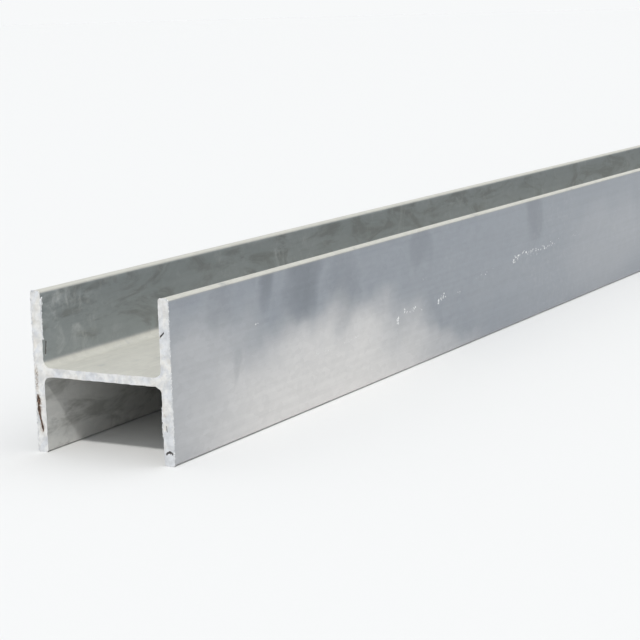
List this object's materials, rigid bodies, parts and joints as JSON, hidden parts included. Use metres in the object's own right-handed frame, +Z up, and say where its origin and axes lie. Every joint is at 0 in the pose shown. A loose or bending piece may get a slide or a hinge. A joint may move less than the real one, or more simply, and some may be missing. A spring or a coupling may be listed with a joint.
{
  "type": "steel h-beam",
  "caption": "Hot-dip galvanised steel H-beam: parallel flanges joined by a level web with rounded roots, cut square at the ends, for columns, frames and floor beams.",
  "frame": {"origin": "halfway along the bar and halfway between the flanges, on the plane that the lower flange tips rest on", "axes": "+X along the bar, +Y from the front flange through the web to the back flange, +Z up, square to the web"},
  "size_m": [6, 0.15, 0.15],
  "materials": {
    "galvanised_steel": "hot-dip galvanised, dull satin zinc with a faint spangle and cloudy patches"
  },
  "bodies": {
    "root": {"h_beam": "galvanised_steel"}
  },
  "joints": []
}
